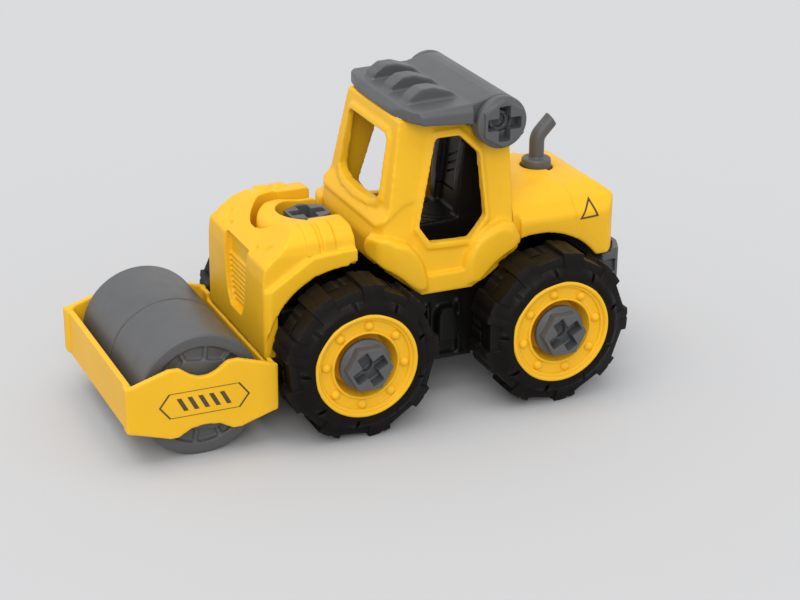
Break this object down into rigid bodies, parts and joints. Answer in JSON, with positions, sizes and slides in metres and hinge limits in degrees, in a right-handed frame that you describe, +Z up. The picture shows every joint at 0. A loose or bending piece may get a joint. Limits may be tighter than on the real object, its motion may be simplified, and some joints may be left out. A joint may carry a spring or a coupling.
{
  "type": "toy road roller",
  "caption": "Take-apart toy road roller: drum in a box frame, free-rolling wheels with bolted rims, hinged-roof cab, hoods, exhaust and bumper.",
  "frame": {"origin": "on the ground under the middle of the toy's bounding box", "axes": "+X forward to the drum, +Y to the vehicle's left, +Z up"},
  "size_m": [0.155, 0.0808, 0.0906],
  "materials": {
    "yellow_plastic": "satin moulded yellow plastic",
    "grey_plastic": "fine-textured moulded grey plastic",
    "black_plastic": "satin moulded black plastic",
    "tyre_black": "soft moulded black tyre",
    "steel": "plain steel rod"
  },
  "bodies": {
    "body": {"rear_left_wheel_bolt": "grey_plastic", "rear_left_axle_nut": "black_plastic", "rear_right_wheel_bolt": "grey_plastic", "rear_right_axle_nut": "black_plastic", "front_left_wheel_bolt": "grey_plastic", "front_left_axle_nut": "black_plastic", "front_right_wheel_bolt": "grey_plastic", "front_right_axle_nut": "black_plastic", "drum_axle": "steel", "drum_frame": "yellow_plastic", "chassis": "black_plastic", "seat": "black_plastic", "front_hood": "yellow_plastic", "bolt_saddle": "yellow_plastic", "cab_shell": "yellow_plastic", "rear_hood": "yellow_plastic", "exhaust_stack": "grey_plastic", "rear_bumper": "grey_plastic", "hood_bolt": "grey_plastic", "hood_nut": "black_plastic", "roof_bolt_left": "grey_plastic", "roof_bolt_right": "grey_plastic"},
    "rear_left_wheel": {"rear_left_tyre": "tyre_black", "rear_left_rim": "yellow_plastic"},
    "rear_right_wheel": {"rear_right_tyre": "tyre_black", "rear_right_rim": "yellow_plastic"},
    "front_left_wheel": {"front_left_tyre": "tyre_black", "front_left_rim": "yellow_plastic"},
    "front_right_wheel": {"front_right_tyre": "tyre_black", "front_right_rim": "yellow_plastic"},
    "drum": {"drum_left_half": "grey_plastic", "drum_right_half": "grey_plastic"},
    "roof": {"roof": "grey_plastic"}
  },
  "joints": [
    {"name": "rear_left_wheel_spin", "type": "hinge", "parent": "body", "child": "rear_left_wheel", "pos_m": [-0.0465, 0, 0.0225], "axis": [0, 1, 0], "continuous": true},
    {"name": "rear_right_wheel_spin", "type": "hinge", "parent": "body", "child": "rear_right_wheel", "pos_m": [-0.0465, 0, 0.0225], "axis": [0, 1, 0], "continuous": true},
    {"name": "front_left_wheel_spin", "type": "hinge", "parent": "body", "child": "front_left_wheel", "pos_m": [0.0124, 0, 0.0225], "axis": [0, 1, 0], "continuous": true},
    {"name": "front_right_wheel_spin", "type": "hinge", "parent": "body", "child": "front_right_wheel", "pos_m": [0.0124, 0, 0.0225], "axis": [0, 1, 0], "continuous": true},
    {"name": "drum_spin", "type": "hinge", "parent": "body", "child": "drum", "pos_m": [0.0558, 0, 0.0173], "axis": [0, 1, 0], "continuous": true},
    {"name": "roof_tilt", "type": "hinge", "parent": "body", "child": "roof", "pos_m": [-0.033, 0, 0.0815], "axis": [0, -1, 0], "range_deg": [0, 80]}
  ]
}
